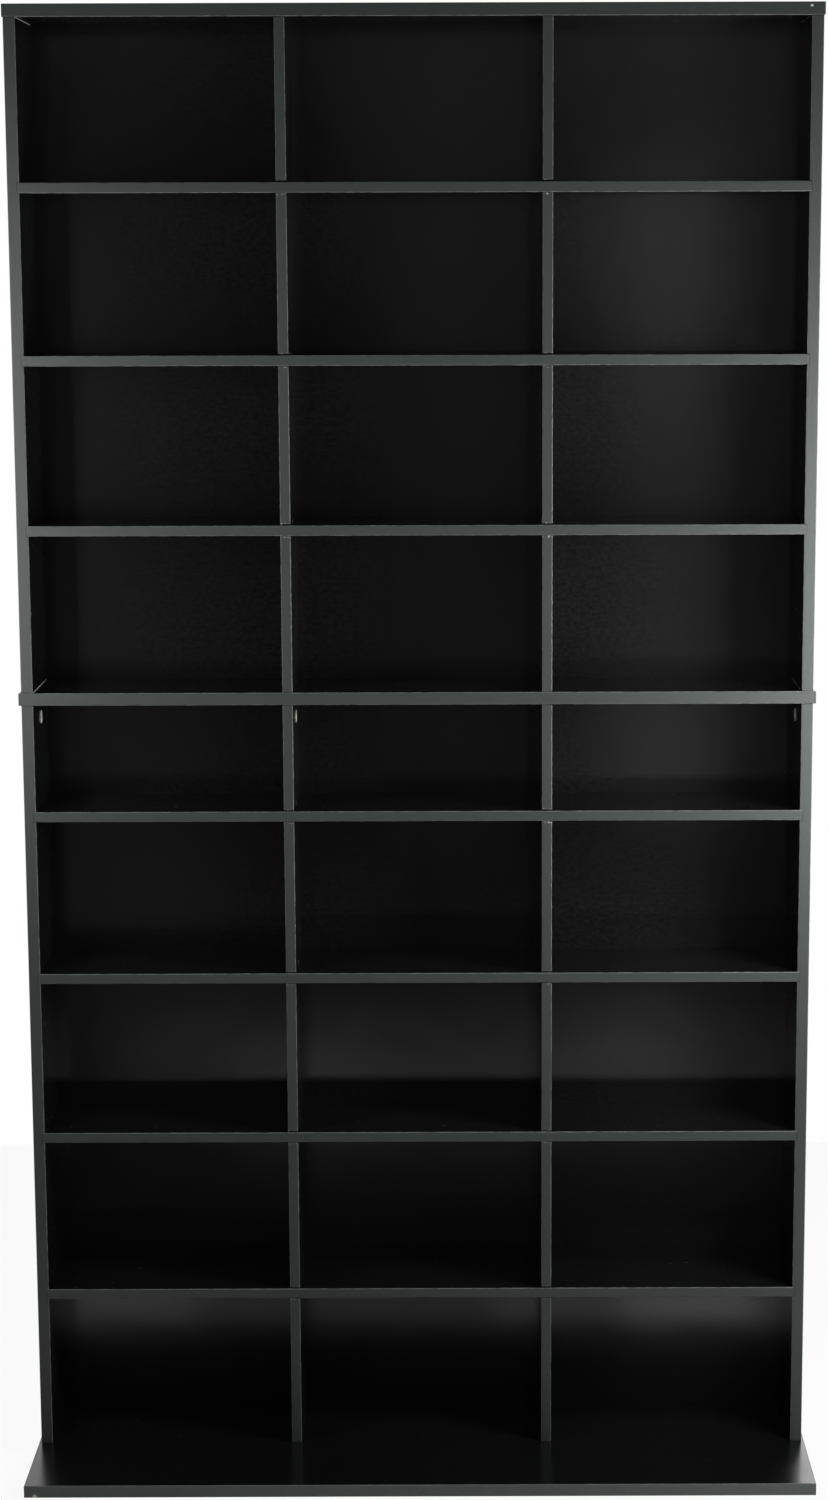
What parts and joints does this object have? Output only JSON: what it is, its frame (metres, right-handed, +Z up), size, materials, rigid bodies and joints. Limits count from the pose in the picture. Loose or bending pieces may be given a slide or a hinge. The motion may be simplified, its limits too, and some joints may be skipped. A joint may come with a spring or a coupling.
{
  "type": "disc storage tower",
  "caption": "Free-standing flat-pack tower for disc and film cases: open compartments in two stacked black sections, push-in shelves, a closed back, cam locks and a deep base plate.",
  "frame": {"origin": "centre of the tower's bounding box, at the floor", "axes": "+Z up, +X to the right as seen from the open front, -Y towards the open front"},
  "size_m": [1.02, 0.315, 1.877],
  "materials": {
    "board": "black melamine-faced particle board, satin, with banded edges",
    "back_board": "black lacquered fibreboard, glossy",
    "zinc": "zinc die casting, dull silver",
    "steel": "zinc-plated steel",
    "beech": "raw turned beech"
  },
  "bodies": {
    "carcass": {"top_panel": "board", "middle_panel": "board", "base_panel": "board", "upper_side_left": "board", "upper_divider_1": "board", "upper_divider_2": "board", "upper_side_right": "board", "lower_side_left": "board", "lower_divider_1": "board", "lower_divider_2": "board", "lower_side_right": "board", "upper_back": "back_board", "lower_back": "back_board", "top_screw_side_left_front": "steel", "top_screw_side_left_rear": "steel", "top_screw_divider_1_front": "steel", "top_screw_divider_1_rear": "steel", "top_screw_divider_2_front": "steel", "top_screw_divider_2_rear": "steel", "top_screw_side_right_front": "steel", "top_screw_side_right_rear": "steel", "middle_screw_side_left_front": "steel", "middle_screw_side_left_rear": "steel", "middle_screw_divider_1_front": "steel", "middle_screw_divider_1_rear": "steel", "middle_screw_divider_2_front": "steel", "middle_screw_divider_2_rear": "steel", "middle_screw_side_right_front": "steel", "middle_screw_side_right_rear": "steel", "base_screw_side_left_front": "steel", "base_screw_side_left_rear": "steel", "base_screw_divider_1_front": "steel", "base_screw_divider_1_rear": "steel", "base_screw_divider_2_front": "steel", "base_screw_divider_2_rear": "steel", "base_screw_side_right_front": "steel", "base_screw_side_right_rear": "steel", "dowel_side_left_front": "beech", "dowel_side_left_rear": "beech", "dowel_divider_1_front": "beech", "dowel_divider_1_rear": "beech", "dowel_divider_2_front": "beech", "dowel_divider_2_rear": "beech", "dowel_side_right_front": "beech", "dowel_side_right_rear": "beech", "cam_bolt_side_left": "steel", "cam_bolt_divider_1": "steel", "cam_bolt_divider_2": "steel", "cam_bolt_side_right": "steel"},
    "upper_shelf_1_body": {"upper_shelf_1": "board"},
    "upper_shelf_2_body": {"upper_shelf_2": "board"},
    "upper_shelf_3_body": {"upper_shelf_3": "board"},
    "lower_shelf_1_body": {"lower_shelf_1": "board"},
    "lower_shelf_2_body": {"lower_shelf_2": "board"},
    "lower_shelf_3_body": {"lower_shelf_3": "board"},
    "lower_shelf_4_body": {"lower_shelf_4": "board"},
    "cam_side_left_body": {"cam_side_left": "zinc"},
    "cam_divider_1_body": {"cam_divider_1": "zinc"},
    "cam_divider_2_body": {"cam_divider_2": "zinc"},
    "cam_side_right_body": {"cam_side_right": "zinc"}
  },
  "joints": [
    {"name": "upper_shelf_1_slide", "type": "slide", "parent": "carcass", "child": "upper_shelf_1_body", "axis": [0, -1, 0], "range_m": [0, 0.14]},
    {"name": "upper_shelf_2_slide", "type": "slide", "parent": "carcass", "child": "upper_shelf_2_body", "axis": [0, -1, 0], "range_m": [0, 0.14]},
    {"name": "upper_shelf_3_slide", "type": "slide", "parent": "carcass", "child": "upper_shelf_3_body", "axis": [0, -1, 0], "range_m": [0, 0.14]},
    {"name": "lower_shelf_1_slide", "type": "slide", "parent": "carcass", "child": "lower_shelf_1_body", "axis": [0, -1, 0], "range_m": [0, 0.14]},
    {"name": "lower_shelf_2_slide", "type": "slide", "parent": "carcass", "child": "lower_shelf_2_body", "axis": [0, -1, 0], "range_m": [0, 0.14]},
    {"name": "lower_shelf_3_slide", "type": "slide", "parent": "carcass", "child": "lower_shelf_3_body", "axis": [0, -1, 0], "range_m": [0, 0.14]},
    {"name": "lower_shelf_4_slide", "type": "slide", "parent": "carcass", "child": "lower_shelf_4_body", "axis": [0, -1, 0], "range_m": [0, 0.14]},
    {"name": "cam_side_left_turn", "type": "hinge", "parent": "carcass", "child": "cam_side_left_body", "pos_m": [-0.4915, 0.0775, 0.982], "axis": [-1, 0, 0], "range_deg": [0, 180]},
    {"name": "cam_divider_1_turn", "type": "hinge", "parent": "carcass", "child": "cam_divider_1_body", "pos_m": [-0.1595, 0.0775, 0.982], "axis": [-1, 0, 0], "range_deg": [0, 180]},
    {"name": "cam_divider_2_turn", "type": "hinge", "parent": "carcass", "child": "cam_divider_2_body", "pos_m": [0.1725, 0.0775, 0.982], "axis": [-1, 0, 0], "range_deg": [0, 180]},
    {"name": "cam_side_right_turn", "type": "hinge", "parent": "carcass", "child": "cam_side_right_body", "pos_m": [0.4915, 0.0775, 0.982], "axis": [1, 0, 0], "range_deg": [0, 180]}
  ]
}
